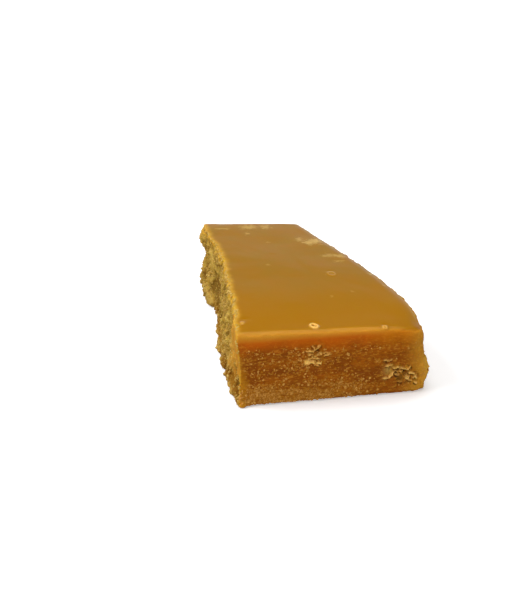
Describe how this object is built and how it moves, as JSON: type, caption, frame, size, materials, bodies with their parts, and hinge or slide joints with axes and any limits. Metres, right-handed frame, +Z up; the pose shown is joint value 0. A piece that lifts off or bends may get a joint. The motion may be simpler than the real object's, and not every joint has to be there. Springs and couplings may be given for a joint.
{
  "type": "jaggery block",
  "caption": "Flat half slab of jaggery with a smooth poured top, moulded sides and one crumbly broken side.",
  "frame": {"origin": "bottom centre of the bounding box, on the resting face", "axes": "+X to the right along the front face, +Y to the back along the broken side, +Z up through the thickness"},
  "size_m": [0.0716, 0.1284, 0.0261],
  "materials": {
    "jaggery": "golden brown cane sugar: satin and slightly translucent where it was poured, grainy on the moulded sides, sandy and paler on the broken side"
  },
  "bodies": {
    "root": {"jaggery_block": "jaggery"}
  },
  "joints": []
}
